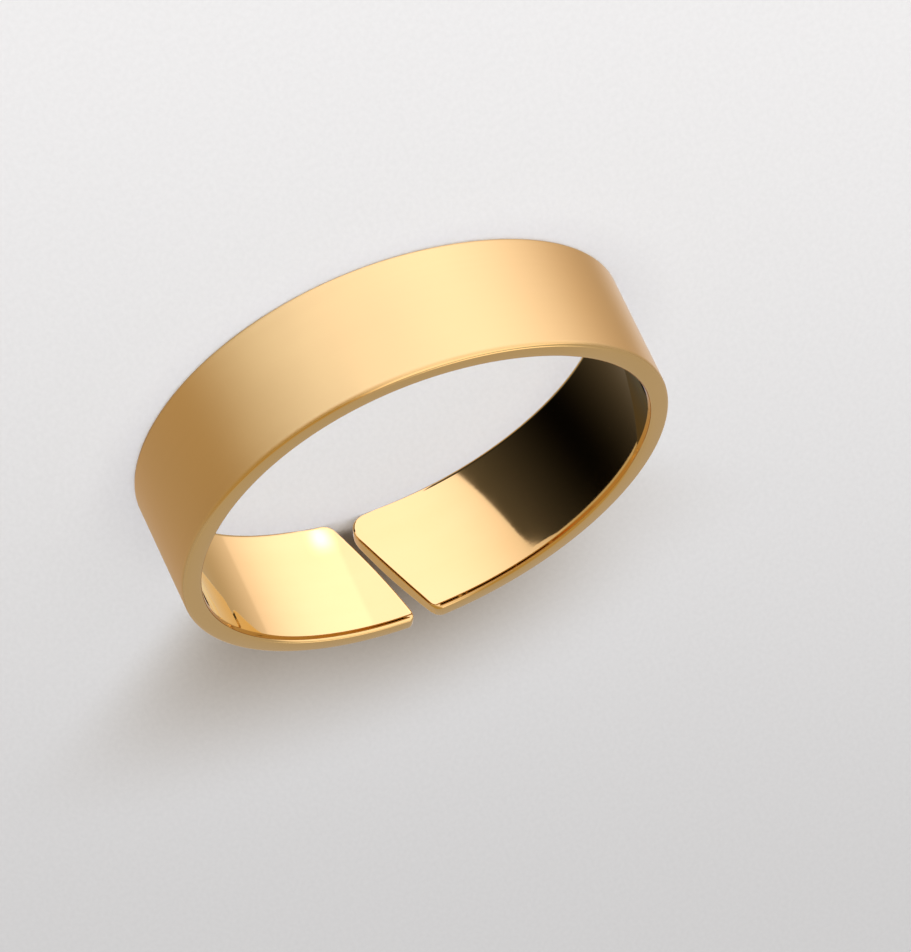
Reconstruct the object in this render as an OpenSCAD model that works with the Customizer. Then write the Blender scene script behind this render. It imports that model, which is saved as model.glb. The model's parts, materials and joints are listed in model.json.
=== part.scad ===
// Open cuff ring: one plain band of sheet metal, bent round and left open at the back.
// The ring lies on its far rim: Z is the finger axis, the floor is at Z = 0 and the gap is on +Y.

/* [Band] */
// Inside diameter, where the finger goes
inner_d = 17; // [14:0.5:22]
// Height of the band along the finger
band_h = 4.6; // [3:0.1:8]
// Thickness of the metal
wall_t = 0.75; // [0.6:0.05:1.2]

/* [Edges] */
// Radius that is rolled over on the rims next to the finger
inner_edge_r = 0.2; // [0.1:0.05:0.3]
// Radius left on the rims at the outside of the band
outer_edge_r = 0.08; // [0.05:0.01:0.2]

/* [Gap] */
// Width of the gap at half the height of the band
gap_w = 0.58; // [0.4:0.02:1.2]
// Slant of the cut that ends the leaf on +X, in degrees from the finger axis
plus_cut_slant = 18; // [10:0.5:22]
// Slant of the cut that ends the leaf on -X, in degrees from the finger axis
minus_cut_slant = 21.5; // [10:0.5:22]
// Corner radius of the +X leaf at the lower rim
plus_low_r = 0.45; // [0.1:0.05:0.8]
// Corner radius of the +X leaf at the upper rim
plus_high_r = 0.2; // [0.1:0.05:0.8]
// Corner radius of the -X leaf at the lower rim
minus_low_r = 0.7; // [0.1:0.05:0.8]
// Corner radius of the -X leaf at the upper rim
minus_high_r = 0.4; // [0.1:0.05:0.8]

/* [Hidden] */

gold = [0.93, 0.74, 0.42];
round_fn = 96;
// How far a cut runs past the metal
over = 0.6;
// A corner circle is larger by this much, so that it crosses the rim and the cut at clean points
crossing = 0.002;
inner_r = inner_d / 2;
outer_r = inner_r + wall_t;

// Distance that a cut line moves along X from one rim to the other
plus_run = band_h * tan(plus_cut_slant);
minus_run = band_h * tan(minus_cut_slant);
// X of each cut line at the lower and the upper rim
plus_low_x = gap_w / 2 + plus_run / 2;
plus_high_x = gap_w / 2 - plus_run / 2;
minus_low_x = -gap_w / 2 + minus_run / 2;
minus_high_x = -gap_w / 2 - minus_run / 2;

function unit(v) = v / norm(v);

// Section of the band: X is the thickness from the finger outwards, Y the height
module band_section() {
    straight_t = wall_t - inner_edge_r - outer_edge_r;
    translate([inner_edge_r, 0])
        square([straight_t, band_h]);
    translate([0, inner_edge_r])
        square([wall_t / 2, band_h - 2 * inner_edge_r]);
    translate([wall_t / 2, outer_edge_r])
        square([wall_t / 2, band_h - 2 * outer_edge_r]);
    for (y = [inner_edge_r, band_h - inner_edge_r])
        translate([inner_edge_r, y])
            circle(r = inner_edge_r, $fn = round_fn);
    for (y = [outer_edge_r, band_h - outer_edge_r])
        translate([wall_t - outer_edge_r, y])
            circle(r = outer_edge_r, $fn = round_fn);
}

// The band before it is cut open
module closed_band() {
    rotate_extrude($fn = round_fn)
        translate([inner_r, 0])
            band_section();
}

// What a file takes off one corner of a leaf: the corner, less a circle that touches both edges
module corner_relief(corner, along_rim, along_cut, r) {
    rim = unit(along_rim);
    cut = unit(along_cut);
    half_angle = acos(rim * cut) / 2;
    reach = r / tan(half_angle);
    centre = corner + unit(rim + cut) * r / sin(half_angle);
    // Both touching points are carried outwards, so that the cut starts clear of the metal
    away = -unit(rim + cut) * over;
    rim_touch = corner + rim * reach;
    cut_touch = corner + cut * reach;
    difference() {
        polygon([centre, rim_touch, rim_touch + away, corner + away, cut_touch + away, cut_touch]);
        translate(centre)
            circle(r = r + crossing, $fn = round_fn);
    }
}

// The slit between the two leaves, seen along the radius
module slit() {
    plus_tan = tan(plus_cut_slant);
    minus_tan = tan(minus_cut_slant);
    polygon([
        [minus_low_x + over * minus_tan, -over],
        [plus_low_x + over * plus_tan, -over],
        [plus_high_x - over * plus_tan, band_h + over],
        [minus_high_x - over * minus_tan, band_h + over]
    ]);
}

// Pushes an outline in X and Z through the back of the band
module through_back() {
    translate([0, outer_r + over, 0])
        rotate([90, 0, 0])
            linear_extrude(wall_t + 3 * over)
                children();
}

module cuff_band() {
    plus_up = [-plus_run, band_h];
    minus_up = [-minus_run, band_h];
    color(gold)
        difference() {
            closed_band();
            through_back()
                slit();
            through_back()
                corner_relief([plus_low_x, 0], [1, 0], plus_up, plus_low_r);
            through_back()
                corner_relief([plus_high_x, band_h], [1, 0], -plus_up, plus_high_r);
            through_back()
                corner_relief([minus_low_x, 0], [-1, 0], minus_up, minus_low_r);
            through_back()
                corner_relief([minus_high_x, band_h], [-1, 0], -minus_up, minus_high_r);
        }
}

cuff_band();
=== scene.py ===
"""Open cuff ring of gold-coloured sheet, satin outside, polished inside, and the stage it lies on."""

import json
import math

import bmesh
import bpy
from bpy.props import FloatProperty, FloatVectorProperty, PointerProperty
from mathutils import Matrix, Vector


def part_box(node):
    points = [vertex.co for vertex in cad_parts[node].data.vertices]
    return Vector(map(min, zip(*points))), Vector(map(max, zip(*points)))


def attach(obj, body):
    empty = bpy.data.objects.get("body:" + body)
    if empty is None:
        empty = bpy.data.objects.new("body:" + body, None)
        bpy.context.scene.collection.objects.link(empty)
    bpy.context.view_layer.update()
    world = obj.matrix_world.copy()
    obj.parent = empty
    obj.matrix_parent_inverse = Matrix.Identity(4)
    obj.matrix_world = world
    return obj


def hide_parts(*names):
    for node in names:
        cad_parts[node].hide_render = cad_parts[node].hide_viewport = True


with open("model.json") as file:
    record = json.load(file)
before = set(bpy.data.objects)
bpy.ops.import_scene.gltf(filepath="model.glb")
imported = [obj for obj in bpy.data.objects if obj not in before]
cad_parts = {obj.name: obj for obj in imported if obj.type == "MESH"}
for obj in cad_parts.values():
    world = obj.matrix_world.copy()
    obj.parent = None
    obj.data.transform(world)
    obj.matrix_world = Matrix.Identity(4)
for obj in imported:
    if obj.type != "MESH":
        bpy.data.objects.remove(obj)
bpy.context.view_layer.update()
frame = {"record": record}

bl_info = {
    "name": "Open cuff ring",
    "version": (1, 0, 0),
    "blender": (4, 5, 0),
    "location": "View3D > Sidebar > Cuff ring",
    "description": "Makes an open cuff ring of satin and polished sheet metal, and the stage it lies on",
    "category": "Add Mesh",
}

MM = 0.001
BAND_NODE = "cuff_band"

# The band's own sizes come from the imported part
BAND_LOW, BAND_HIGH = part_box(BAND_NODE)
BAND_HEIGHT = BAND_HIGH.z - BAND_LOW.z
OUTER_RADIUS = (BAND_HIGH.x - BAND_LOW.x) / 2
MOUNTS = {mount["name"]: mount for mount in frame["record"]["mounts"]}
INNER_RADIUS = MOUNTS["finger_hole"]["dims"]["r_mm"] * MM

# The camera stands this far round from -Y, and the studio's own Y axis points away from it
CAMERA_TURN = math.radians(17.55)

# Length, width and height of each finish's brushed or polished lines in mm, the swing of its roughness and
# its anisotropy
FINISH_LINES = {
    "satin_outside": (7.0, 0.05, 0.0004, 0.03, 0.9),
    "polished_inside": (9.0, 0.12, 0.00006, 0.01, 0.0),
    "polished_rims": (3.0, 0.08, 0.0002, 0.03, 0.0),
}
FINISHES = tuple(FINISH_LINES)


def length_setting(name, description, default, **limits):
    """A length that a user can change."""
    return FloatProperty(
        name=name, description=description, default=default, unit="LENGTH", subtype="DISTANCE", **limits
    )


def angle_setting(name, description, degrees):
    """An angle that a user can change."""
    return FloatProperty(
        name=name, description=description, default=math.radians(degrees), subtype="ANGLE"
    )


def share_setting(name, description, default):
    """A share from 0 to 1 that a user can change."""
    return FloatProperty(
        name=name, description=description, default=default, min=0, max=1, subtype="FACTOR"
    )


def power_setting(name, description, default):
    """A light's power that a user can change."""
    return FloatProperty(name=name, description=description, default=default, min=0, unit="POWER")


def colour_setting(name, description, default):
    """A colour that a user can change."""
    return FloatVectorProperty(
        name=name, description=description, default=default, min=0, max=1, size=3, subtype="COLOR"
    )


class CuffBandSizes(bpy.types.PropertyGroup):
    """Sizes of the bent band."""

    inner_radius: length_setting(
        "Inner radius", "Radius of the finger hole", INNER_RADIUS, min=7 * MM, max=11 * MM
    )
    thickness: length_setting(
        "Thickness", "Thickness of the sheet metal", OUTER_RADIUS - INNER_RADIUS, min=0.6 * MM, max=1.2 * MM
    )
    height: length_setting(
        "Height", "Height of the band along the finger", BAND_HEIGHT, min=3 * MM, max=8 * MM
    )
    gap: length_setting(
        "Gap",
        "Width of the gap between the two leaves at half the height",
        0.58 * MM,
        min=0.4 * MM,
        max=1.2 * MM,
    )
    plus_slant: angle_setting(
        "Slant of the +X cut", "Angle of the cut that ends the leaf on +X, from the finger axis", 18
    )
    minus_slant: angle_setting(
        "Slant of the -X cut", "Angle of the cut that ends the leaf on -X, from the finger axis", 21.5
    )
    plus_low_corner: length_setting(
        "+X lower corner", "Radius of the +X leaf's corner at the lower rim", 0.45 * MM
    )
    plus_high_corner: length_setting(
        "+X upper corner", "Radius of the +X leaf's corner at the upper rim", 0.2 * MM
    )
    minus_low_corner: length_setting(
        "-X lower corner", "Radius of the -X leaf's corner at the lower rim", 0.7 * MM
    )
    minus_high_corner: length_setting(
        "-X upper corner", "Radius of the -X leaf's corner at the upper rim", 0.4 * MM
    )
    plus_bulge: length_setting(
        "Bulge of the +X cut",
        "How far the middle of the +X leaf's filed end stands proud of a straight cut",
        0.13 * MM,
    )
    minus_undercut: length_setting(
        "Undercut of the -X cut",
        "How far the -X leaf's filed end falls back at its outer corners",
        0.15 * MM,
    )
    inner_edge: length_setting(
        "Inner edge", "Radius rolled over along the edges next to the finger", 0.1 * MM
    )
    outer_edge: length_setting("Outer edge", "Radius left along the edges on the outside", 0.15 * MM)
    three_lobes: length_setting(
        "Three lobes", "How far the hand-bent band is out of round, in three lobes", 0.084 * MM
    )
    four_lobes: length_setting(
        "Four lobes", "How far the hand-bent band is out of round, in four lobes", 0.043 * MM
    )


class CuffFinish(bpy.types.PropertyGroup):
    """Colours and gloss of the metal."""

    gold: colour_setting("Gold", "Colour of the gold plating", (0.95, 0.60, 0.235))
    satin_roughness: share_setting("Satin roughness", "Roughness of the brushed outside", 0.35)
    polish_roughness: share_setting("Polish roughness", "Roughness of the polished inside", 0.035)
    rim_roughness: share_setting("Rim roughness", "Roughness of the rims and of the cut ends", 0.13)


class CuffStudio(bpy.types.PropertyGroup):
    """Light and colour of the stage."""

    floor: colour_setting("Floor", "Colour of the paper that the ring lies on", (0.73, 0.72, 0.72))
    key: power_setting("Key light", "Power of the soft key light", 0.1)
    overhead: power_setting("Overhead light", "Power of the large soft light overhead", 1.0)
    ambient: FloatProperty(
        name="Ambient", description="Brightness of the room's even light on the floor", default=0.87, min=0
    )


class CuffSettings(bpy.types.PropertyGroup):
    """Everything that a user would change."""

    band: PointerProperty(type=CuffBandSizes)
    finish: PointerProperty(type=CuffFinish)
    studio: PointerProperty(type=CuffStudio)


# Shape of the band. It is made flat, with X along the band, Y through the metal from the finger outwards
# and Z up, and is then bent round. X = 0 becomes the middle of the front and both ends meet at the back.

COLUMNS = 360
BEVEL_STEPS = 6
CORNER_STEPS = 8
SNAP = 1e-6
# Width of the loop that holds the shading of each wall flat up to its rounded edges
HOLD = 0.012 * MM
# The edge between the lower rim and the inner wall is rolled over less high, save near the cuts
LOW_EDGE_SHARE = 0.12
LOW_EDGE_START = 0.6 * MM
LOW_EDGE_BLEND = 1.0 * MM
# The polishing wheel tilts the last stretch of the inner wall before the upper rolled edge
LIP_WIDTH = 0.12 * MM
LIP_SLOPE = 0.2
# How far the upper rim stands proud, how deep in the metal its crest runs, and how much of it is gone at
# the inner wall
RIM_CROWN = 0.06 * MM
CREST_DEPTH = 0.25 * MM
CREST_FALL = 0.35
# The filed end blends into the band over this length
FILED_LENGTH = 2.0 * MM
# Directions of the first of the three and of the four lobes
THREE_LOBES_AT = math.radians(64.3)
FOUR_LOBES_AT = math.radians(23.4)
# Where the band is sliced: up from each rim, and through the metal from the inner wall, in mm
SLICES_FROM_RIM = (0.15, 0.17, 0.19, 0.22, 0.35, 0.6, 1.2)
SLICES_THROUGH = (0.15, 0.2, 0.25, 0.32, 0.39, 0.46, 0.53)
# The inside polish reaches over this share of the inner rolled edge, and the satin over this of the outer
POLISH_REACH = 0.4
SATIN_REACH = 0.3


def cut_x(side, height, band):
    """X of the saw cut in the finished ring, for the leaf on +X (side 1) or on -X (side -1)."""
    slant = band.plus_slant if side > 0 else band.minus_slant
    return side * band.gap / 2 - (height - band.height / 2) * math.tan(slant)


def cut_blank(bm, band):
    """A flat blank of one face, as long as the inner wall goes round, with two slanted ends."""
    half = math.pi * band.inner_radius
    bmesh.ops.create_grid(bm, x_segments=1, y_segments=1, size=0.5)
    for corner in bm.verts:
        side = 1 if corner.co.x > 0 else -1
        height = (corner.co.y + 0.5) * band.height
        corner.co = (side * half - cut_x(side, height, band), 0, height)


def round_off(bm, parts, offset, steps, affect, clamp_overlap=False):
    """Rounds corners (affect is VERTICES) or edges (EDGES)."""
    bmesh.ops.bevel(
        bm,
        geom=parts,
        offset=offset,
        offset_type="OFFSET",
        segments=steps,
        profile=0.5,
        affect=affect,
        clamp_overlap=clamp_overlap,
        material=-1,
    )


def round_corners(bm, band):
    """Files the four corners of the blank to their radii."""
    radii = {
        (1, False): band.plus_low_corner,
        (1, True): band.plus_high_corner,
        (-1, False): band.minus_low_corner,
        (-1, True): band.minus_high_corner,
    }
    for corner in bm.verts[:]:
        side = 1 if corner.co.x > 0 else -1
        radius = radii[side, corner.co.z > band.height / 2]
        first, second = (edge.other_vert(corner).co - corner.co for edge in corner.link_edges)
        reach = radius / math.tan(first.angle(second) / 2)
        round_off(bm, [corner], reach, CORNER_STEPS, "VERTICES")


def thicken(bm, band):
    """Gives the blank its thickness. The saw ran straight through the back, so its cuts stay parallel."""
    half = math.pi * band.inner_radius
    made = bmesh.ops.extrude_face_region(bm, geom=bm.faces[:])
    outside = [part for part in made["geom"] if isinstance(part, bmesh.types.BMVert)]
    bmesh.ops.translate(bm, verts=outside, vec=(0, band.thickness, 0))
    narrowing = band.thickness / (band.inner_radius + band.thickness)
    for v in outside:
        side = 1 if v.co.x > 0 else -1
        v.co.x += (side * half - v.co.x) * narrowing
    bmesh.ops.recalc_face_normals(bm, faces=bm.faces[:])


def ease_edges(bm, band):
    """Rolls over the edges next to the finger, and takes the sharpness off the outer ones."""
    for level, radius in ((0.0, band.inner_edge), (band.thickness, band.outer_edge)):
        outline = [e for e in bm.edges if all(abs(v.co.y - level) < SNAP for v in e.verts)]
        round_off(bm, outline, radius, BEVEL_STEPS, "EDGES", clamp_overlap=True)
    walls = sorted(bm.faces, key=lambda face: face.calc_area())[-2:]
    bmesh.ops.inset_individual(bm, faces=walls, thickness=HOLD, depth=0, use_even_offset=True)


def slice_across(bm, axis, places):
    """Cuts the whole mesh at each place along an axis, so that it can bend and curve smoothly."""
    for place in places:
        whole = bm.verts[:] + bm.edges[:] + bm.faces[:]
        bmesh.ops.bisect_plane(bm, geom=whole, dist=SNAP, plane_co=axis * place, plane_no=axis)


def slice_blank(bm, band):
    """Columns all along the band, and rows that lie closer together towards the rims."""
    length = 2 * math.pi * band.inner_radius
    columns = [length * (k / COLUMNS - 0.5) for k in range(1, COLUMNS)]
    near_rim = [place * MM for place in SLICES_FROM_RIM]
    rows = near_rim + [band.height / 2] + [band.height - place for place in near_rim]
    slice_across(bm, Vector((1, 0, 0)), columns)
    slice_across(bm, Vector((0, 0, 1)), rows)
    slice_across(bm, Vector((0, 1, 0)), [place * MM for place in SLICES_THROUGH])


def sort_finishes(bm, band):
    """Names the finish of each face while the band is still flat."""
    for face in bm.faces:
        depth = face.calc_center_median().y
        if depth < POLISH_REACH * band.inner_edge:
            face.material_index = FINISHES.index("polished_inside")
        elif depth > band.thickness - SATIN_REACH * band.outer_edge:
            face.material_index = FINISHES.index("satin_outside")
        else:
            face.material_index = FINISHES.index("polished_rims")
        face.smooth = True


def smooth_share(share):
    """A share from 0 to 1 that starts and ends gently."""
    return share * share * (3 - 2 * share)


def crown_share(depth, band):
    """How much of its crown the upper rim has at a depth in the metal, from 0 to 1."""
    if depth < CREST_DEPTH:
        return 1 - CREST_FALL * ((CREST_DEPTH - depth) / CREST_DEPTH) ** 2
    return max(0.0, 1 - ((depth - CREST_DEPTH) / (band.thickness - CREST_DEPTH)) ** 2)


def file_and_polish(bm, band):
    """Files both ends, tilts the upper lip of the inner wall and crowns the upper rim."""
    half = math.pi * band.inner_radius
    for v in bm.verts:
        side = 1 if v.co.x > 0 else -1
        from_cut = abs(side * half - cut_x(side, v.co.z, band) - v.co.x)
        off_middle = (2 * v.co.z / band.height - 1) ** 2
        filed = max(0.0, 1 - from_cut / FILED_LENGTH)
        if side > 0:
            v.co.x += band.plus_bulge * (1 - off_middle) * filed
        else:
            v.co.x += band.minus_undercut * off_middle * filed * v.co.y / band.thickness
        if v.co.z < band.inner_edge and v.co.y < band.inner_edge:
            past_cut = min(1.0, max(0.0, (from_cut - LOW_EDGE_START) / LOW_EDGE_BLEND))
            v.co.z *= 1 - (1 - LOW_EDGE_SHARE) * smooth_share(past_cut)
        up_lip = min(1.0, max(0.0, 1 - (band.height - v.co.z - band.inner_edge) / LIP_WIDTH))
        v.co.z += RIM_CROWN * crown_share(v.co.y, band) * up_lip
        v.co.y += LIP_SLOPE * LIP_WIDTH * up_lip * smooth_share(up_lip) * (1 - v.co.y / band.thickness)


def bend_round(bm, band):
    """Bends the flat band round the finger, with the small lobes that bending by hand leaves."""
    for v in bm.verts:
        turn = v.co.x / band.inner_radius - math.pi / 2
        lobes = band.three_lobes * math.cos(3 * (turn - THREE_LOBES_AT))
        lobes += band.four_lobes * math.cos(4 * (turn - FOUR_LOBES_AT))
        radius = band.inner_radius + lobes + v.co.y
        v.co.x = radius * math.cos(turn)
        v.co.y = radius * math.sin(turn)


def build_band(band):
    """The whole band as one closed mesh."""
    bm = bmesh.new()
    cut_blank(bm, band)
    round_corners(bm, band)
    thicken(bm, band)
    ease_edges(bm, band)
    slice_blank(bm, band)
    sort_finishes(bm, band)
    file_and_polish(bm, band)
    bend_round(bm, band)
    bmesh.ops.recalc_face_normals(bm, faces=bm.faces[:])
    mesh = bpy.data.meshes.new("gold_band")
    bm.to_mesh(mesh)
    bm.free()
    return mesh


# Node helpers

# Nearly all of a noise lies between these two values
NOISE_LOW = 0.3
NOISE_HIGH = 0.7


def add_node(tree, kind, settings=None, **inputs):
    """A node with its settings and inputs. An input is a value or an output socket, and i0 is the first."""
    made = tree.nodes.new(kind)
    for name, value in (settings or {}).items():
        setattr(made, name, value)
    for name, value in inputs.items():
        key = int(name[1:]) if name[0] == "i" and name[1:].isdigit() else name.replace("_", " ")
        if isinstance(value, bpy.types.NodeSocket):
            tree.links.new(value, made.inputs[key])
        else:
            made.inputs[key].default_value = value
    return made


def calculate(tree, operation, *values):
    """The result of one Math node."""
    inputs = {f"i{index}": value for index, value in enumerate(values)}
    return add_node(tree, "ShaderNodeMath", {"operation": operation}, **inputs).outputs[0]


def vector_math(tree, operation, *vectors):
    """One Vector Math node. Its result is its first output, or "Value" where that is one number."""
    inputs = {f"i{index}": vector for index, vector in enumerate(vectors)}
    return add_node(tree, "ShaderNodeVectorMath", {"operation": operation}, **inputs)


def new_material(name):
    """A material and its emptied node tree."""
    material = bpy.data.materials.new(name)
    material.use_nodes = True
    material.node_tree.nodes.clear()
    return material, material.node_tree


def show(tree, shader, output="ShaderNodeOutputMaterial"):
    """Links a shader to the surface of the material or the world."""
    tree.links.new(shader, add_node(tree, output).inputs["Surface"])


def grey(tree, brightness):
    """A colour that is as bright in red, green and blue."""
    return add_node(tree, "ShaderNodeCombineXYZ", X=brightness, Y=brightness, Z=brightness).outputs[0]


def new_group(name, inputs, outputs):
    """An empty shader node group with named sockets, and its two end nodes."""
    tree = bpy.data.node_groups.new(name, "ShaderNodeTree")
    for socket, kind, default in inputs:
        made = tree.interface.new_socket(name=socket, in_out="INPUT", socket_type=kind)
        if default is not None:
            made.default_value = default
    for socket, kind in outputs:
        tree.interface.new_socket(name=socket, in_out="OUTPUT", socket_type=kind)
    return tree, tree.nodes.new("NodeGroupInput"), tree.nodes.new("NodeGroupOutput")


def place_group(tree, group, **inputs):
    """Places a node group in a material with that material's own values."""
    return add_node(tree, "ShaderNodeGroup", {"node_tree": group}, **inputs)


# Effects that several finishes share

# The broad streaks repeat this often for each time that the fine lines do, along and across
BROAD_STREAKS = (0.45, 0.16, 0.16)
# How much of a finish's slow change comes from clouds, and the rest from its streaks
CLOUD_SHARE = 0.6


def band_place_group():
    """Where a point is on the band, in millimetres: along it, across it and through the metal."""
    tree, given, result = new_group(
        "Place on the band",
        [("Position", "NodeSocketVector", None), ("Inner radius", "NodeSocketFloat", INNER_RADIUS)],
        [("Place", "NodeSocketVector")],
    )
    part = add_node(tree, "ShaderNodeSeparateXYZ", Vector=given.outputs["Position"])
    x, y, z = part.outputs
    turn = calculate(tree, "ARCTAN2", x, calculate(tree, "MULTIPLY", y, -1))
    along = calculate(tree, "MULTIPLY", turn, given.outputs["Inner radius"])
    squares = calculate(tree, "ADD", calculate(tree, "POWER", x, 2), calculate(tree, "POWER", y, 2))
    radius = calculate(tree, "SQRT", squares)
    depth = calculate(tree, "SUBTRACT", radius, given.outputs["Inner radius"])
    place = add_node(tree, "ShaderNodeCombineXYZ", X=along, Y=z, Z=depth)
    scaled = add_node(tree, "ShaderNodeVectorMath", {"operation": "SCALE"}, i0=place.outputs[0], Scale=1 / MM)
    tree.links.new(scaled.outputs[0], result.inputs["Place"])
    return tree


def brushed_lines_group():
    """Fine lines that run along the band: their height and a mask of how strong they are."""
    tree, given, result = new_group(
        "Brushed lines",
        [
            ("Place", "NodeSocketVector", None),
            ("Line length", "NodeSocketFloat", 6.0),
            ("Line width", "NodeSocketFloat", 0.06),
        ],
        [("Height", "NodeSocketFloat"), ("Streaks", "NodeSocketFloat")],
    )
    along = calculate(tree, "DIVIDE", 1, given.outputs["Line length"])
    across = calculate(tree, "DIVIDE", 1, given.outputs["Line width"])
    stretch = add_node(tree, "ShaderNodeCombineXYZ", X=along, Y=across, Z=across)
    lines = vector_math(tree, "MULTIPLY", given.outputs["Place"], stretch.outputs[0]).outputs[0]
    fine = add_node(tree, "ShaderNodeTexNoise", Vector=lines, Scale=1.0, Detail=3.0, Roughness=0.6)
    broad_place = vector_math(tree, "MULTIPLY", lines, BROAD_STREAKS).outputs[0]
    broad = add_node(tree, "ShaderNodeTexNoise", Vector=broad_place, Scale=1.0, Detail=2.0)
    tree.links.new(fine.outputs[0], result.inputs["Height"])
    tree.links.new(broad.outputs[0], result.inputs["Streaks"])
    return tree


def tone_group():
    """Slow changes of the plating's tone over the surface."""
    tree, given, result = new_group(
        "Plating tone",
        [
            ("Place", "NodeSocketVector", None),
            ("Gold", "NodeSocketColor", None),
            ("Streaks", "NodeSocketFloat", 0.5),
            ("Amount", "NodeSocketFloat", 0.04),
            ("Patch size", "NodeSocketFloat", 2.5),
        ],
        [("Colour", "NodeSocketColor"), ("Mask", "NodeSocketFloat")],
    )
    scale = calculate(tree, "DIVIDE", 1, given.outputs["Patch size"])
    cloud = add_node(tree, "ShaderNodeTexNoise", Vector=given.outputs["Place"], Scale=scale, Detail=2.0)
    clouds = calculate(tree, "MULTIPLY", cloud.outputs[0], CLOUD_SHARE)
    streaks = calculate(tree, "MULTIPLY", given.outputs["Streaks"], 1 - CLOUD_SHARE)
    mixed = calculate(tree, "ADD", clouds, streaks)
    swing = calculate(tree, "MULTIPLY", calculate(tree, "SUBTRACT", mixed, 0.5), given.outputs["Amount"])
    value = calculate(tree, "ADD", 1, calculate(tree, "MULTIPLY", swing, 2))
    tinted = add_node(
        tree,
        "ShaderNodeHueSaturation",
        Color=given.outputs["Gold"],
        Value=value,
        Saturation=calculate(tree, "SUBTRACT", 1, swing),
    )
    tree.links.new(tinted.outputs[0], result.inputs["Colour"])
    tree.links.new(mixed, result.inputs["Mask"])
    return tree


# The brushed lines run round the band, a quarter turn from its upright tangent
QUARTER_TURN = 0.25
# How much light the brushed outside returns beside the polished inside
BRUSHED_SHARE = 0.9


def make_finish(name, groups, gold, roughness):
    """One gold finish."""
    line_length, line_width, line_height, swing, anisotropy = FINISH_LINES[name]
    material, tree = new_material(name)
    spot = add_node(tree, "ShaderNodeTexCoord")
    place = place_group(tree, groups["place"], Position=spot.outputs["Object"]).outputs["Place"]
    lines = place_group(tree, groups["lines"], Place=place, Line_length=line_length, Line_width=line_width)
    tone = place_group(tree, groups["tone"], Place=place, Gold=(*gold, 1), Streaks=lines.outputs["Streaks"])
    rough = add_node(
        tree,
        "ShaderNodeMapRange",
        Value=tone.outputs["Mask"],
        From_Min=NOISE_LOW,
        From_Max=NOISE_HIGH,
        To_Min=roughness - swing,
        To_Max=roughness + swing,
    )
    relief = add_node(
        tree, "ShaderNodeBump", Height=lines.outputs["Height"], Strength=1.0, Distance=line_height * MM
    )
    metal = add_node(
        tree,
        "ShaderNodeBsdfPrincipled",
        Base_Color=tone.outputs["Colour"],
        Metallic=1.0,
        Roughness=rough.outputs[0],
        Normal=relief.outputs[0],
        Anisotropic=anisotropy,
    )
    if anisotropy:
        upright = add_node(tree, "ShaderNodeTangent", {"direction_type": "RADIAL", "axis": "Z"})
        tree.links.new(upright.outputs[0], metal.inputs["Tangent"])
        metal.inputs["Anisotropic Rotation"].default_value = QUARTER_TURN
    show(tree, metal.outputs[0])
    return material


def make_finishes(finish):
    """The three finishes, in the order of FINISHES."""
    groups = {"place": band_place_group(), "lines": brushed_lines_group(), "tone": tone_group()}
    gold = tuple(finish.gold)
    brushed_gold = tuple(channel * BRUSHED_SHARE for channel in gold)
    golds = (brushed_gold, gold, gold)
    roughnesses = (finish.satin_roughness, finish.polish_roughness, finish.rim_roughness)
    return [make_finish(name, groups, *look) for name, *look in zip(FINISHES, golds, roughnesses)]


class CUFF_OT_band(bpy.types.Operator):
    """Make the bent band with its three finishes"""

    bl_idname = "cuff.band"
    bl_label = "Make the band"

    def execute(self, context):
        settings = context.scene.cuff
        mesh = build_band(settings.band)
        for material in make_finishes(settings.finish):
            mesh.materials.append(material)
        piece = bpy.data.objects.new("gold_band", mesh)
        context.scene.collection.objects.link(piece)
        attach(piece, "root")
        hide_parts(BAND_NODE)
        return {"FINISHED"}


# The stage. Its places are in the studio's own directions: X to the right of someone at the camera, Y away
# from the camera and Z up. STUDIO turns them to the ring's own directions.

STUDIO = Matrix.Rotation(CAMERA_TURN, 4, "Z")

CAMERA_ELEVATION = math.radians(26.32)
CAMERA_ROLL = math.radians(205.73)
CAMERA_DISTANCE = 358.3 * MM
CAMERA_LENS_MM = 385.1
SENSOR_WIDTH_MM = 36
# Where the ring's centre stands in the picture, right of and above its middle
RING_RIGHT = -1.967 * MM
RING_ABOVE = 1.053 * MM


def place_camera(context):
    """The camera at the photograph's angle to the ring."""
    data = bpy.data.cameras.new("camera")
    data.lens = CAMERA_LENS_MM
    data.sensor_width = SENSOR_WIDTH_MM
    data.clip_start = 10 * MM
    data.clip_end = 10
    camera = bpy.data.objects.new("camera", data)
    context.scene.collection.objects.link(camera)
    tilt = Matrix.Rotation(math.pi / 2 - CAMERA_ELEVATION, 4, "X")
    view = STUDIO @ tilt @ Matrix.Rotation(-CAMERA_ROLL, 4, "Z")
    to_camera = Vector((-RING_RIGHT, -RING_ABOVE, CAMERA_DISTANCE))
    camera.matrix_world = Matrix.Translation((0, 0, BAND_HEIGHT / 2)) @ view @ Matrix.Translation(to_camera)
    context.scene.camera = camera


# Azimuth and elevation of each light in degrees, its distance and width in metres, and its colour
SOFT_LIGHTS = {
    "key_light": (-135, 40, 0.45, 0.16, (1.0, 0.985, 0.96)),
    "overhead_light": (-90, 80, 0.5, 0.5, (0.97, 0.98, 1.0)),
}


def direction(azimuth, elevation):
    """Unit vector towards an azimuth and an elevation in degrees, in the studio's directions."""
    turn, rise = math.radians(azimuth), math.radians(elevation)
    return math.cos(turn) * math.cos(rise), math.sin(turn) * math.cos(rise), math.sin(rise)


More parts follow.
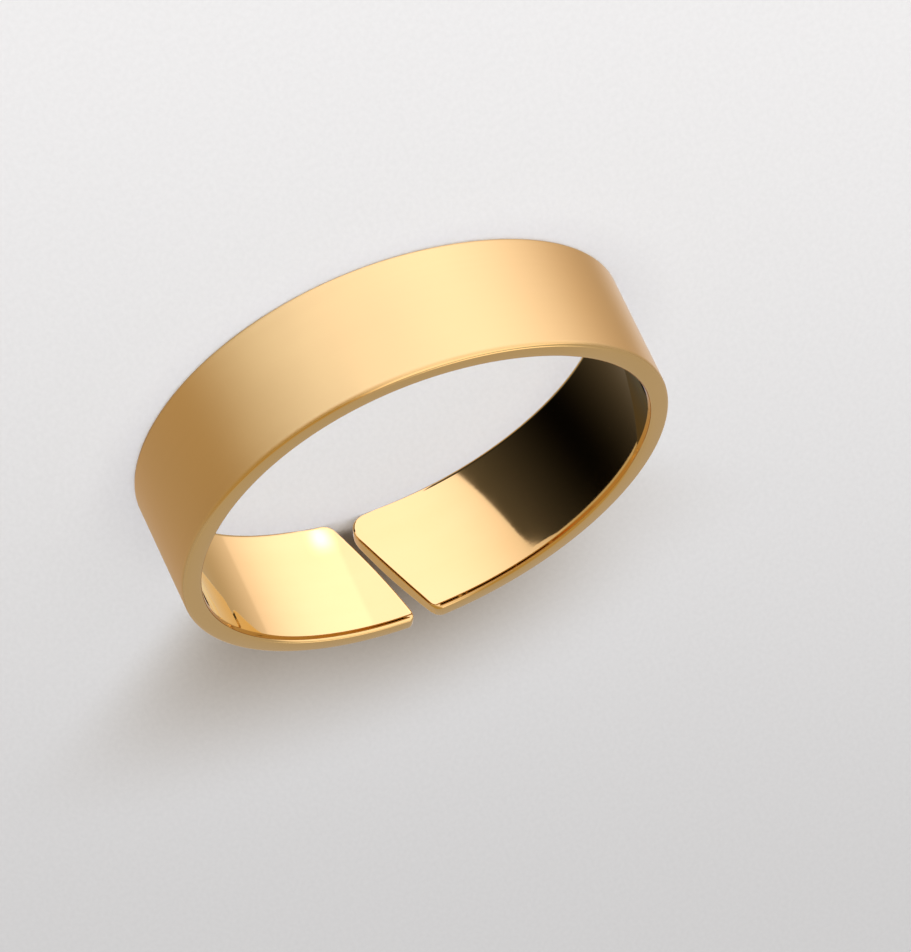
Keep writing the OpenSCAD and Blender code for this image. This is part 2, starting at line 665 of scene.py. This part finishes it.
def soft_light(context, name, power):
    """A round soft light that points at the ring and doesn't show in the metal."""
    azimuth, elevation, distance, width, colour = SOFT_LIGHTS[name]
    data = bpy.data.lights.new(name, "AREA")
    data.shape = "DISK"
    data.size = width
    data.energy = power
    data.color = colour
    light = bpy.data.objects.new(name, data)
    context.scene.collection.objects.link(light)
    towards = STUDIO.to_3x3() @ Vector(direction(azimuth, elevation))
    light.location = towards * distance
    light.rotation_mode = "QUATERNION"
    light.rotation_quaternion = towards.to_track_quat("Z", "Y")
    light.visible_glossy = False


def light_stage(context, studio):
    """The key light from the camera's left, and a large light overhead."""
    soft_light(context, "key_light", studio.key)
    soft_light(context, "overhead_light", studio.overhead)


# The studio that only the metal sees is a dim, warm room with a few lights. Each light has the azimuth of
# its middle and its reach in degrees, the share of its reach that is soft edge, and the colour it adds
ROOM = (0.50, 0.45, 0.35)
WALL_LIGHTS = (
    (-125, 105, 0.9, (0.95, 1.05, 1.60)),
    (-170, 33, 0.1, (0.15, 0.15, 0.20)),
)
# The same room above the horizon
UPPER_ROOM = (0.45, 0.35, 0.15)
UPPER_LIGHTS = ((-150, 80, 0.9, (0.80, 0.90, 1.20)),)
# The same room in a reflection of a reflection
DEEP_ROOM = (0.08, 0.10, 0.12)
DEEP_LIGHTS = ((175, 90, 0.5, (0.70, 0.80, 0.85)),)
# The far side above the horizon is plain grey
FAR_SIDE = (0.45, 0.45, 0.45)
# A small bright light high up: azimuth and elevation, where it ends inside and outside, all in degrees
HIGH_LIGHT_PLACE = (115, 55)
HIGH_LIGHT_ENDS = (5, 13)
HIGH_LIGHT = (1.5, 1.5, 1.5)
# What a reflection of a reflection sees near and above the horizon
DEEP_SIGHT = (0.44, 0.48, 0.52)
# How the walls are tinted from the third reflection on
THIRD_TINT = (1.12, 1.35, 1.50)
# Each reflection tints the light with the gold again. This power of the gold takes most of that out, for
# so many reflections at most
UNTINT_POWER = -0.8
UNTINT_MOST = 1.6
# Elevations in degrees between which the room changes: to its upper part, to the far side, and in a
# reflection of a reflection
UPPER_FADE = (-3, 9)
FAR_FADE = (-3, 3)
DEEP_FADE = (-25.5, -23)
# The far side starts and is full where a direction's Y reaches these
FAR_SIDE_Y = (0.05, 0.3)
# What the floor finds in the metal, as shares of the even light
FLOOR_SIGHT = (1.8, 2.85, 7.1)


def soft_step(tree, value, start, end):
    """0 where the value is below start, 1 where it is above end, and a soft step between."""
    return add_node(
        tree,
        "ShaderNodeMapRange",
        {"interpolation_type": "SMOOTHSTEP"},
        Value=value,
        From_Min=start,
        From_Max=end,
    ).outputs[0]


def blend(tree, share, base, other, kind="MIX"):
    """Blends two colours."""
    return add_node(
        tree,
        "ShaderNodeMix",
        {"data_type": "RGBA", "blend_type": kind},
        Factor=share,
        i6=base,
        i7=other,
    ).outputs[2]


def sine(degrees):
    """Sine of an angle in degrees."""
    return math.sin(math.radians(degrees))


def rise_step(tree, z, fade):
    """A soft step between the two elevations of a fade, for a direction's Z."""
    start, end = fade
    return soft_step(tree, z, sine(start), sine(end))


def lit_room(tree, azimuth, room, lights):
    """The colour of a room at an azimuth, with its lights added."""
    seen = (*room, 1)
    for middle, reach, softness, colour in lights:
        off = calculate(tree, "SUBTRACT", azimuth, math.radians(middle))
        full = reach * (1 - softness)
        share = soft_step(tree, calculate(tree, "COSINE", off), sine(90 - reach), sine(90 - full))
        seen = blend(tree, share, seen, (*colour, 1), "ADD")
    return seen


def turn_to_studio(tree, vector):
    """A vector turned from the ring's directions to the studio's."""
    return add_node(
        tree, "ShaderNodeVectorRotate", {"rotation_type": "Z_AXIS"}, Vector=vector, Angle=-CAMERA_TURN
    ).outputs[0]


def studio_group():
    """What the metal sees in a direction, given in the studio's own axes, and how it mirrors itself."""
    tree, given, result = new_group(
        "Studio seen by the metal",
        [("Direction", "NodeSocketVector", None)],
        [
            ("Colour", "NodeSocketColor"),
            ("Deep colour", "NodeSocketColor"),
            ("Near horizon", "NodeSocketFloat"),
        ],
    )
    towards = given.outputs["Direction"]
    x, y, z = add_node(tree, "ShaderNodeSeparateXYZ", Vector=towards).outputs
    azimuth = calculate(tree, "ARCTAN2", y, x)
    walls = lit_room(tree, azimuth, ROOM, WALL_LIGHTS)
    upper = lit_room(tree, azimuth, UPPER_ROOM, UPPER_LIGHTS)
    seen = blend(tree, rise_step(tree, z, UPPER_FADE), walls, upper)
    is_far = calculate(tree, "MULTIPLY", soft_step(tree, y, *FAR_SIDE_Y), rise_step(tree, z, FAR_FADE))
    seen = blend(tree, is_far, seen, (*FAR_SIDE, 1))
    nearness = vector_math(tree, "DOT_PRODUCT", towards, direction(*HIGH_LIGHT_PLACE)).outputs["Value"]
    inside, outside = HIGH_LIGHT_ENDS
    share = soft_step(tree, nearness, sine(90 - outside), sine(90 - inside))
    seen = blend(tree, share, seen, (*HIGH_LIGHT, 1))
    tree.links.new(seen, result.inputs["Colour"])
    tree.links.new(lit_room(tree, azimuth, DEEP_ROOM, DEEP_LIGHTS), result.inputs["Deep colour"])
    tree.links.new(rise_step(tree, z, DEEP_FADE), result.inputs["Near horizon"])
    return tree


def make_world(context, studio, gold):
    """Even light for the floor, and the studio's walls for the metal."""
    world = bpy.data.worlds.new("studio")
    context.scene.world = world
    world.use_nodes = True
    tree = world.node_tree
    tree.nodes.clear()
    spot = add_node(tree, "ShaderNodeTexCoord")
    towards = turn_to_studio(tree, spot.outputs["Generated"])
    path = add_node(tree, "ShaderNodeLightPath")
    group = place_group(tree, studio_group(), Direction=towards)
    # 1 in the first reflection, 2 in a reflection of a reflection, and so on
    depth = path.outputs["Glossy Depth"]
    is_third = calculate(tree, "GREATER_THAN", depth, 2.5)
    walls = blend(tree, is_third, group.outputs["Deep colour"], (*THIRD_TINT, 1), "MULTIPLY")
    extra = calculate(tree, "MINIMUM", calculate(tree, "SUBTRACT", depth, 2), UNTINT_MOST)
    powers = [calculate(tree, "POWER", channel**UNTINT_POWER, extra) for channel in gold]
    untinted = add_node(tree, "ShaderNodeCombineXYZ", X=powers[0], Y=powers[1], Z=powers[2]).outputs[0]
    sight = blend(tree, 1.0, (*DEEP_SIGHT, 1), untinted, "MULTIPLY")
    deep = blend(tree, group.outputs["Near horizon"], walls, sight)
    is_deep = calculate(tree, "GREATER_THAN", depth, 1.5)
    seen = blend(tree, is_deep, group.outputs["Colour"], deep)
    from_floor = calculate(tree, "GREATER_THAN", path.outputs["Diffuse Depth"], 0.5)
    seen = blend(tree, from_floor, seen, (*(studio.ambient * share for share in FLOOR_SIGHT), 1))
    for_metal = add_node(tree, "ShaderNodeBackground", Color=seen, Strength=1.0)
    for_floor = add_node(tree, "ShaderNodeBackground", Color=(1.0, 0.995, 0.99, 1), Strength=studio.ambient)
    either = add_node(tree, "ShaderNodeMixShader")
    tree.links.new(path.outputs["Is Glossy Ray"], either.inputs[0])
    tree.links.new(for_floor.outputs[0], either.inputs[1])
    tree.links.new(for_metal.outputs[0], either.inputs[2])
    show(tree, either.outputs[0], "ShaderNodeOutputWorld")


# The floor is a square, so wide in metres. Its grain repeats so often in a metre, is stretched along Y, and
# makes the paper lighter and darker by this share
FLOOR_SIZE = 1.4
FLOOR_GRAIN = 6000.0
GRAIN_STRETCH = (1, 0.45, 1)
GRAIN_SWING = 0.02
# Painted shade: the paper's colour grows darker along this azimuth in degrees, between these two places on
# it, by up to this share
SHADE_AZIMUTH = 42.8
SHADE_START = -34 * MM
SHADE_END = 44 * MM
SHADE_DEPTH = 0.275

# The dark card: how far it hangs below the floor, its radius, its two straight edges and their corner
CARD_DEPTH = 30 * MM
CARD_RADIUS = 67 * MM
CARD_EDGE_Y = -48.5 * MM
CARD_SIDE_X = 2 * MM
CARD_CORNER = 3 * MM
# A slanted cut takes off the card's outer corner from here on, and faces this way
CARD_CUT_X = 39.4 * MM
CARD_CUT_NORMAL = (0.56, -0.83, 0)
# The card's darkest line: its radius on the studio's X axis, and how it turns outwards
DARKEST_RADIUS = 60.5 * MM
DARKEST_TURN = math.radians(0.96) / MM
# How fast the card grows lighter away from that line, per square radian, and what it starts at
CARD_GLOW = 0.1
CARD_LEAST = 0.002
# Light paths from the inside of the band first cross its middle, so they end nearer to the axis than they
# have gone level. At the camera's slope they go level for this share of their length, and the dark card is
# seen by that test from here outwards
LEVEL_SHARE = math.cos(CAMERA_ELEVATION)
CARD_SEEN_FROM = 38 * MM
# The cards hang this far above one another
GLOW_LIFT = 0.5 * MM
# Small bright card: X and Y of its middle in the studio, and its half length and half width
GLOW_X = -45.4 * MM
GLOW_Y = -27.4 * MM
GLOW_LENGTH = 11 * MM
GLOW_WIDTH = 2.5 * MM
GLOW_TURN = math.radians(33)
GLOW_STRENGTH = 4.8
# The pale card that only the brushed outside of the band sees is lit as the room is
PALE_CARD_RADIUS = 130 * MM
CARD_ROOM = (0.60, 0.50, 0.40)
CARD_LIGHTS = (
    (-105, 100, 0.9, (0.80, 1.20, 2.00)),
    (-165, 60, 0.9, (0.30, 0.30, 0.40)),
    (105, 35, 0.9, (0.40, 0.50, 0.70)),
)

# Thin nets just over the floor put a painted shadow on it behind the ring. Azimuth of the middle and reach
# round the ring in degrees, how far from the ring's axis each one ends in mm, and how much light it takes
# beside the ring
PAINTED_SHADOW_NETS = (
    (74, 35, 28, 0.9),
    (95, 28, 26, 0.45),
)
NET_HEIGHT = 0.3 * MM
NET_STEP = 0.05 * MM
# How much more of the blue than of the red a net takes, as powers, so that the painted shadow is brownish
NET_TINT = (0.85, 1.0, 1.2)
# The nets leave out the ring's own place
NET_INNER = 9.0 * MM
NET_OUTER = 9.5 * MM


def flat_stage_piece(context, name, bm, material):
    """Links a flat mesh as part of the stage."""
    mesh = bpy.data.meshes.new(name)
    bm.to_mesh(mesh)
    bm.free()
    mesh.materials.append(material)
    made = bpy.data.objects.new(name, mesh)
    context.scene.collection.objects.link(made)
    return made


def floor_material(studio):
    """Pale paper with a faint grain, and painted shade that darkens its colour along one azimuth."""
    material = bpy.data.materials.new("pale_paper")
    material.use_nodes = True
    tree = material.node_tree
    paper = tree.nodes["Principled BSDF"]
    paper.inputs["Roughness"].default_value = 0.9
    paper.inputs["Specular IOR Level"].default_value = 0.1
    spot = add_node(tree, "ShaderNodeTexCoord")
    place = turn_to_studio(tree, spot.outputs["Object"])
    fibres = vector_math(tree, "MULTIPLY", place, GRAIN_STRETCH).outputs[0]
    grain = add_node(tree, "ShaderNodeTexNoise", Vector=fibres, Scale=FLOOR_GRAIN, Detail=3.0)
    tint = add_node(
        tree,
        "ShaderNodeMapRange",
        Value=grain.outputs[0],
        From_Min=NOISE_LOW,
        From_Max=NOISE_HIGH,
        To_Min=1 - GRAIN_SWING,
        To_Max=1 + GRAIN_SWING,
    )
    # Painted shade: the paper's colour is darkened along SHADE_AZIMUTH
    away = vector_math(tree, "DOT_PRODUCT", place, direction(SHADE_AZIMUTH, 0)).outputs["Value"]
    painted_shade = soft_step(tree, away, SHADE_START, SHADE_END)
    light = calculate(tree, "SUBTRACT", 1, calculate(tree, "MULTIPLY", painted_shade, SHADE_DEPTH))
    colour = add_node(
        tree,
        "ShaderNodeVectorMath",
        {"operation": "SCALE"},
        i0=tuple(studio.floor),
        Scale=calculate(tree, "MULTIPLY", tint.outputs[0], light),
    )
    tree.links.new(colour.outputs[0], paper.inputs["Base Color"])
    return material


def lay_floor(context, studio):
    """The floor under the ring. The metal doesn't mirror it."""
    bm = bmesh.new()
    bmesh.ops.create_grid(bm, x_segments=1, y_segments=1, size=FLOOR_SIZE / 2)
    floor = flat_stage_piece(context, "floor", bm, floor_material(studio))
    floor.visible_glossy = False


def level_place(tree):
    """Where a point is in the studio, level with the floor."""
    spot = add_node(tree, "ShaderNodeTexCoord")
    level = vector_math(tree, "MULTIPLY", spot.outputs["Object"], (1, 1, 0))
    return turn_to_studio(tree, level.outputs[0])


def length_of(tree, place):
    """Distance of a place from the ring's axis."""
    return vector_math(tree, "LENGTH", place).outputs["Value"]


def azimuth_of(tree, place):
    """Azimuth of a place in the studio, in radians."""
    x, y, z = add_node(tree, "ShaderNodeSeparateXYZ", Vector=place).outputs
    return calculate(tree, "ARCTAN2", y, x)


def seen_from_inside(tree, radius):
    """1 for light paths that come from the inside of the band, 0 for those from its outside."""
    path = add_node(tree, "ShaderNodeLightPath")
    reach = calculate(tree, "MULTIPLY", path.outputs["Ray Length"], LEVEL_SHARE)
    return calculate(tree, "GREATER_THAN", reach, radius)


def first_reflection(tree):
    """1 for light paths that met the metal once, 0 for reflections of reflections."""
    path = add_node(tree, "ShaderNodeLightPath")
    return calculate(tree, "LESS_THAN", path.outputs["Glossy Depth"], 1.5)


def soft_spot(tree, place, spot_x, spot_y, turn, half_length, half_width):
    """A spot that is full in its middle and fades out along its length and width."""
    off_middle = vector_math(tree, "SUBTRACT", place, (spot_x, spot_y, 0)).outputs[0]
    squared = add_node(
        tree, "ShaderNodeVectorRotate", {"rotation_type": "Z_AXIS"}, Vector=off_middle, Angle=-turn
    ).outputs[0]
    scaled = vector_math(tree, "MULTIPLY", squared, (1 / half_length, 1 / half_width, 0)).outputs[0]
    return calculate(tree, "SUBTRACT", 1, soft_step(tree, length_of(tree, scaled), 0, 1))


def card_material(name, paint):
    """A flat card. paint is a function that gives its cover from 0 to 1 and its colour as node sockets."""
    material, tree = new_material(name)
    cover, colour = paint(tree, level_place(tree))
    glow = add_node(tree, "ShaderNodeEmission", Color=colour, Strength=1.0)
    clear = add_node(tree, "ShaderNodeBsdfTransparent")
    either = add_node(tree, "ShaderNodeMixShader")
    tree.links.new(cover, either.inputs[0])
    tree.links.new(clear.outputs[0], either.inputs[1])
    tree.links.new(glow.outputs[0], either.inputs[2])
    show(tree, either.outputs[0])
    return material


def level_run(tree):
    """How far a light path went level on its way from the band's lower rim down to the dark card."""
    length = add_node(tree, "ShaderNodeLightPath").outputs["Ray Length"]
    squared = calculate(tree, "SUBTRACT", calculate(tree, "POWER", length, 2), (CARD_DEPTH + MM) ** 2)
    return calculate(tree, "SQRT", calculate(tree, "MAXIMUM", squared, 0))


def paint_dark_card(tree, place):
    """A little lighter away from the card's darkest line."""
    radius = length_of(tree, place)
    outwards = calculate(tree, "SUBTRACT", radius, DARKEST_RADIUS)
    darkest = calculate(tree, "MULTIPLY", outwards, DARKEST_TURN)
    off = calculate(tree, "SUBTRACT", azimuth_of(tree, place), darkest)
    glow = calculate(tree, "MULTIPLY", calculate(tree, "POWER", off, 2), CARD_GLOW)
    brightness = calculate(tree, "ADD", glow, CARD_LEAST)
    far_out = calculate(tree, "GREATER_THAN", radius, CARD_SEEN_FROM)
    across = calculate(tree, "GREATER_THAN", level_run(tree), radius)
    in_reach = calculate(tree, "MAXIMUM", far_out, across)
    in_sight = calculate(tree, "MULTIPLY", first_reflection(tree), in_reach)
    inside = calculate(tree, "MAXIMUM", seen_from_inside(tree, radius), across)
    cover = calculate(tree, "MULTIPLY", inside, in_sight)
    return cover, grey(tree, brightness)


def paint_glow_card(tree, place):
    """One hot spot, longer across the line towards the ring than along that line."""
    spot = soft_spot(tree, place, GLOW_X, GLOW_Y, GLOW_TURN, GLOW_WIDTH, GLOW_LENGTH)
    inside = seen_from_inside(tree, length_of(tree, place))
    cover = calculate(tree, "MULTIPLY", calculate(tree, "POWER", spot, 2), inside)
    return cover, grey(tree, GLOW_STRENGTH)


def paint_pale_card(tree, place):
    """The pale card all round that only the brushed outside sees."""
    from_outside = calculate(tree, "SUBTRACT", 1, seen_from_inside(tree, length_of(tree, place)))
    cover = calculate(tree, "MULTIPLY", from_outside, first_reflection(tree))
    return cover, lit_room(tree, azimuth_of(tree, place), CARD_ROOM, CARD_LIGHTS)


def hang_card(context, name, bm, paint):
    """Hangs a card that only the metal sees. The camera, the floor and the lights pass it by."""
    card = flat_stage_piece(context, name, bm, card_material(name, paint))
    card.visible_camera = False
    card.visible_diffuse = False
    card.visible_shadow = False


def hang_dark_card(context):
    """The large dark card below the floor that the inside of the band mirrors."""
    bm = bmesh.new()
    bmesh.ops.create_circle(bm, cap_ends=True, segments=96, radius=CARD_RADIUS)
    cuts = (
        ((0, CARD_EDGE_Y, 0), (0, -1, 0)),
        ((CARD_SIDE_X, 0, 0), (-1, 0, 0)),
        ((CARD_CUT_X, CARD_EDGE_Y, 0), CARD_CUT_NORMAL),
    )
    for place, normal in cuts:
        whole = bm.verts[:] + bm.edges[:] + bm.faces[:]
        bmesh.ops.bisect_plane(bm, geom=whole, plane_co=place, plane_no=normal, clear_outer=True)
    corners = [v for v in bm.verts if abs(v.co.y - CARD_EDGE_Y) < SNAP]
    round_off(bm, corners, CARD_CORNER, CORNER_STEPS, "VERTICES")
    bmesh.ops.translate(bm, verts=bm.verts[:], vec=(0, 0, -CARD_DEPTH))
    bmesh.ops.transform(bm, matrix=STUDIO, verts=bm.verts[:])
    hang_card(context, "dark_card", bm, paint_dark_card)


def hang_glow_card(context):
    """A small bright card that makes the hot spot near the corner of one leaf."""
    bm = bmesh.new()
    bmesh.ops.create_circle(bm, cap_ends=True, segments=48, radius=GLOW_LENGTH)
    place = STUDIO @ Matrix.Translation((GLOW_X, GLOW_Y, GLOW_LIFT - CARD_DEPTH))
    bmesh.ops.transform(bm, matrix=place, verts=bm.verts[:])
    hang_card(context, "glow_card", bm, paint_glow_card)


def hang_pale_card(context):
    """The large pale card below the floor that lights the outside of the band."""
    bm = bmesh.new()
    bmesh.ops.create_circle(bm, cap_ends=True, segments=96, radius=PALE_CARD_RADIUS)
    bmesh.ops.translate(bm, verts=bm.verts[:], vec=(0, 0, -CARD_DEPTH - GLOW_LIFT))
    hang_card(context, "pale_card", bm, paint_pale_card)


def painted_shadow_material(name, middle, reach, far, density):
    """A net that paints a brownish shadow on the floor, thickest beside the ring, and leaves out the ring's
    own place.
    """
    material, tree = new_material(name)
    place = level_place(tree)
    radius = length_of(tree, place)
    off = calculate(tree, "SUBTRACT", azimuth_of(tree, place), math.radians(middle))
    behind = soft_step(tree, calculate(tree, "COSINE", off), sine(90 - reach), 1)
    inwards = calculate(tree, "SUBTRACT", 1, soft_step(tree, radius, OUTER_RADIUS, far))
    beside_ring = soft_step(tree, radius, NET_INNER, NET_OUTER)
    cover = calculate(tree, "MULTIPLY", calculate(tree, "MULTIPLY", behind, inwards), beside_ring)
    passed = calculate(tree, "SUBTRACT", 1, calculate(tree, "MULTIPLY", cover, density))
    red, green, blue = (calculate(tree, "POWER", passed, power) for power in NET_TINT)
    tint = add_node(tree, "ShaderNodeCombineXYZ", X=red, Y=green, Z=blue)
    show(tree, add_node(tree, "ShaderNodeBsdfTransparent", Color=tint.outputs[0]).outputs[0])
    return material


def hang_painted_shadow_nets(context):
    """Thin nets, out of sight of the camera and the metal, that paint a shadow on the floor behind the ring.
    """
    for number, (middle, reach, far, density) in enumerate(PAINTED_SHADOW_NETS):
        name = f"shade_net_{number + 1}"
        bm = bmesh.new()
        bmesh.ops.create_circle(bm, cap_ends=True, segments=48, radius=far * MM)
        bmesh.ops.translate(bm, verts=bm.verts[:], vec=(0, 0, NET_HEIGHT + number * NET_STEP))
        material = painted_shadow_material(name, middle, reach, far * MM, density)
        net = flat_stage_piece(context, name, bm, material)
        net.visible_camera = False
        net.visible_glossy = False


class CUFF_OT_stage(bpy.types.Operator):
    """Make the floor, the soft light and the camera"""

    bl_idname = "cuff.stage"
    bl_label = "Make the stage"

    def execute(self, context):
        studio = context.scene.cuff.studio
        place_camera(context)
        lay_floor(context, studio)
        hang_dark_card(context)
        hang_glow_card(context)
        hang_pale_card(context)
        hang_painted_shadow_nets(context)
        light_stage(context, studio)
        make_world(context, studio, context.scene.cuff.finish.gold)
        context.scene.view_settings.view_transform = "Standard"
        return {"FINISHED"}


class CUFF_PT_panel(bpy.types.Panel):
    """Panel with the settings and the buttons that make the ring and its stage"""

    bl_label = "Cuff ring"
    bl_space_type = "VIEW_3D"
    bl_region_type = "UI"
    bl_category = "Cuff ring"

    def draw(self, context):
        settings = context.scene.cuff
        for group, operator in (
            (settings.band, CUFF_OT_band),
            (settings.finish, None),
            (settings.studio, CUFF_OT_stage),
        ):
            column = self.layout.column()
            for name in group.__annotations__:
                column.prop(group, name)
            if operator:
                column.operator(operator.bl_idname)


CLASSES = (
    CuffBandSizes,
    CuffFinish,
    CuffStudio,
    CuffSettings,
    CUFF_OT_band,
    CUFF_OT_stage,
    CUFF_PT_panel,
)


def register():
    """Makes the classes known and gives each scene its settings."""
    for made in CLASSES:
        bpy.utils.register_class(made)
    bpy.types.Scene.cuff = PointerProperty(type=CuffSettings)


def unregister():
    """Takes the settings and the classes out again."""
    del bpy.types.Scene.cuff
    for made in reversed(CLASSES):
        bpy.utils.unregister_class(made)


def main():
    """Makes the ring and its stage."""
    register()
    bpy.ops.cuff.band()
    bpy.ops.cuff.stage()


if __name__ == "__main__":
    main()
